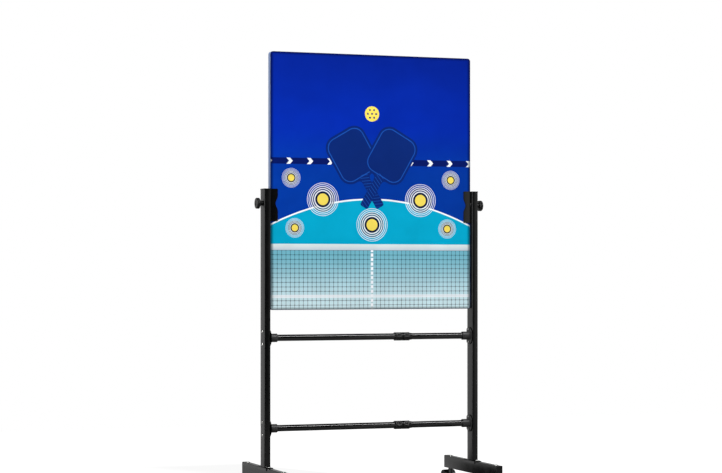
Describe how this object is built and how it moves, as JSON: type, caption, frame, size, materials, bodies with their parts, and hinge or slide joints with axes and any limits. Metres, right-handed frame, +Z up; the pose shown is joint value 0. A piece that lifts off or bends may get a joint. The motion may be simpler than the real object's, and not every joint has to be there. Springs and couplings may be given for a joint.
{
  "type": "pickleball rebound board",
  "caption": "Free-standing rebound board: a printed panel tilts between the posts of a black tube stand that widens on telescoping rails and rolls on braked swivel casters.",
  "frame": {"origin": "on the floor under the middle of the stand, halfway between the posts and between the front and rear casters", "axes": "+X to the right of a player who faces the front of the board, +Y to the rear, away from that player, +Z up; the board stands upright at rest"},
  "size_m": [0.9484, 0.5902, 1.7198],
  "materials": {
    "panel_core": "raw board core, hidden inside the panel",
    "panel_print": "printed hard sheet, semi-gloss",
    "panel_edge": "pale satin edge band",
    "powder_coat": "black powder coat on steel, fine texture",
    "moulded_black": "black moulded nylon, satin",
    "bright_bolt": "zinc plated",
    "dark_steel": "blackened steel",
    "wheel_tread": "black wheel with a dull tread"
  },
  "bodies": {
    "left_frame": {"left_foot": "powder_coat", "left_foot_front_cap": "moulded_black", "left_foot_rear_cap": "moulded_black", "left_saddle": "powder_coat", "left_post": "powder_coat", "left_post_cap": "moulded_black", "left_upper_rail_socket": "moulded_black", "left_lower_rail_socket": "moulded_black", "left_upper_rail_lower_bolt": "bright_bolt", "left_upper_rail_upper_bolt": "bright_bolt", "left_lower_rail_lower_bolt": "bright_bolt", "left_lower_rail_upper_bolt": "bright_bolt", "upper_left_rail": "powder_coat", "lower_left_rail": "powder_coat", "upper_lock_collar": "moulded_black", "lower_lock_collar": "moulded_black", "left_front_caster_stem": "dark_steel", "left_rear_caster_stem": "dark_steel"},
    "right_frame": {"right_foot": "powder_coat", "right_foot_front_cap": "moulded_black", "right_foot_rear_cap": "moulded_black", "right_saddle": "powder_coat", "right_post": "powder_coat", "right_post_cap": "moulded_black", "right_upper_rail_socket": "moulded_black", "right_lower_rail_socket": "moulded_black", "right_upper_rail_lower_bolt": "bright_bolt", "right_upper_rail_upper_bolt": "bright_bolt", "right_lower_rail_lower_bolt": "bright_bolt", "right_lower_rail_upper_bolt": "bright_bolt", "upper_right_rail": "powder_coat", "lower_right_rail": "powder_coat", "right_front_caster_stem": "dark_steel", "right_rear_caster_stem": "dark_steel"},
    "board": {"board_core": "panel_core", "front_print_sheet": "panel_print", "back_print_sheet": "panel_print", "board_edge_band": "panel_edge", "left_clamp": "powder_coat", "left_pivot_stud": "dark_steel"},
    "right_clamp": {"right_clamp": "powder_coat", "right_pivot_stud": "dark_steel"},
    "left_knob": {"left_clamping_knob": "moulded_black"},
    "right_knob": {"right_clamping_knob": "moulded_black"},
    "upper_lock_nut": {"upper_lock_nut": "moulded_black"},
    "lower_lock_nut": {"lower_lock_nut": "moulded_black"},
    "left_front_caster": {"left_front_caster_hood": "moulded_black"},
    "left_rear_caster": {"left_rear_caster_hood": "moulded_black"},
    "right_front_caster": {"right_front_caster_hood": "moulded_black"},
    "right_rear_caster": {"right_rear_caster_hood": "moulded_black"},
    "left_front_outer_wheel": {"left_front_outer_wheel": "wheel_tread"},
    "left_front_inner_wheel": {"left_front_inner_wheel": "wheel_tread"},
    "left_rear_outer_wheel": {"left_rear_outer_wheel": "wheel_tread"},
    "left_rear_inner_wheel": {"left_rear_inner_wheel": "wheel_tread"},
    "right_front_outer_wheel": {"right_front_outer_wheel": "wheel_tread"},
    "right_front_inner_wheel": {"right_front_inner_wheel": "wheel_tread"},
    "right_rear_outer_wheel": {"right_rear_outer_wheel": "wheel_tread"},
    "right_rear_inner_wheel": {"right_rear_inner_wheel": "wheel_tread"},
    "left_front_brake": {"left_front_brake_pedal": "moulded_black"},
    "right_rear_brake": {"right_rear_brake_pedal": "moulded_black"}
  },
  "joints": [
    {"name": "width_slide", "type": "slide", "parent": "left_frame", "child": "right_frame", "axis": [1, 0, 0], "range_m": [0, 0.15]},
    {"name": "board_tilt", "type": "hinge", "parent": "left_frame", "child": "board", "pos_m": [0, 0, 1.13179], "axis": [1, 0, 0], "range_deg": [-173, 173]},
    {"name": "right_clamp_turn", "type": "hinge", "parent": "right_frame", "child": "right_clamp", "pos_m": [0.4354, 0, 1.13179], "axis": [1, 0, 0], "range_deg": [-173, 173]},
    {"name": "left_knob_turn", "type": "hinge", "parent": "board", "child": "left_knob", "pos_m": [-0.4354, 0, 1.13179], "axis": [-1, 0, 0], "range_deg": [0, 360]},
    {"name": "right_knob_turn", "type": "hinge", "parent": "right_clamp", "child": "right_knob", "pos_m": [0.4354, 0, 1.13179], "axis": [1, 0, 0], "range_deg": [0, 360]},
    {"name": "upper_lock_turn", "type": "hinge", "parent": "left_frame", "child": "upper_lock_nut", "pos_m": [0.1467, 0, 0.61179], "axis": [1, 0, 0], "range_deg": [0, 180]},
    {"name": "lower_lock_turn", "type": "hinge", "parent": "left_frame", "child": "lower_lock_nut", "pos_m": [0.1467, 0, 0.26179], "axis": [1, 0, 0], "range_deg": [0, 180]},
    {"name": "left_front_swivel", "type": "hinge", "parent": "left_frame", "child": "left_front_caster", "pos_m": [-0.4354, -0.226, 0.05779], "axis": [0, 0, 1], "continuous": true},
    {"name": "left_rear_swivel", "type": "hinge", "parent": "left_frame", "child": "left_rear_caster", "pos_m": [-0.4354, 0.226, 0.05779], "axis": [0, 0, 1], "continuous": true},
    {"name": "right_front_swivel", "type": "hinge", "parent": "right_frame", "child": "right_front_caster", "pos_m": [0.4354, -0.226, 0.05779], "axis": [0, 0, 1], "continuous": true},
    {"name": "right_rear_swivel", "type": "hinge", "parent": "right_frame", "child": "right_rear_caster", "pos_m": [0.4354, 0.226, 0.05779], "axis": [0, 0, 1], "continuous": true},
    {"name": "left_front_outer_roll", "type": "hinge", "parent": "left_front_caster", "child": "left_front_outer_wheel", "pos_m": [-0.4354, -0.25, 0.02479], "axis": [1, 0, 0], "continuous": true},
    {"name": "left_front_inner_roll", "type": "hinge", "parent": "left_front_caster", "child": "left_front_inner_wheel", "pos_m": [-0.4354, -0.25, 0.02479], "axis": [1, 0, 0], "continuous": true},
    {"name": "left_rear_outer_roll", "type": "hinge", "parent": "left_rear_caster", "child": "left_rear_outer_wheel", "pos_m": [-0.4354, 0.25, 0.02479], "axis": [1, 0, 0], "continuous": true},
    {"name": "left_rear_inner_roll", "type": "hinge", "parent": "left_rear_caster", "child": "left_rear_inner_wheel", "pos_m": [-0.4354, 0.25, 0.02479], "axis": [1, 0, 0], "continuous": true},
    {"name": "right_front_outer_roll", "type": "hinge", "parent": "right_front_caster", "child": "right_front_outer_wheel", "pos_m": [0.4354, -0.25, 0.02479], "axis": [1, 0, 0], "continuous": true},
    {"name": "right_front_inner_roll", "type": "hinge", "parent": "right_front_caster", "child": "right_front_inner_wheel", "pos_m": [0.4354, -0.25, 0.02479], "axis": [1, 0, 0], "continuous": true},
    {"name": "right_rear_outer_roll", "type": "hinge", "parent": "right_rear_caster", "child": "right_rear_outer_wheel", "pos_m": [0.4354, 0.25, 0.02479], "axis": [1, 0, 0], "continuous": true},
    {"name": "right_rear_inner_roll", "type": "hinge", "parent": "right_rear_caster", "child": "right_rear_inner_wheel", "pos_m": [0.4354, 0.25, 0.02479], "axis": [1, 0, 0], "continuous": true},
    {"name": "left_front_brake_press", "type": "hinge", "parent": "left_front_caster", "child": "left_front_brake", "pos_m": [-0.4354, -0.27534, 0.03826], "axis": [1, 0, 0], "range_deg": [0, 20]},
    {"name": "right_rear_brake_press", "type": "hinge", "parent": "right_rear_caster", "child": "right_rear_brake", "pos_m": [0.4354, 0.27534, 0.03826], "axis": [-1, 0, 0], "range_deg": [0, 20]}
  ],
  "couplings": [
    {"joint": "right_clamp_turn", "follows": "board_tilt", "ratio": 1}
  ]
}
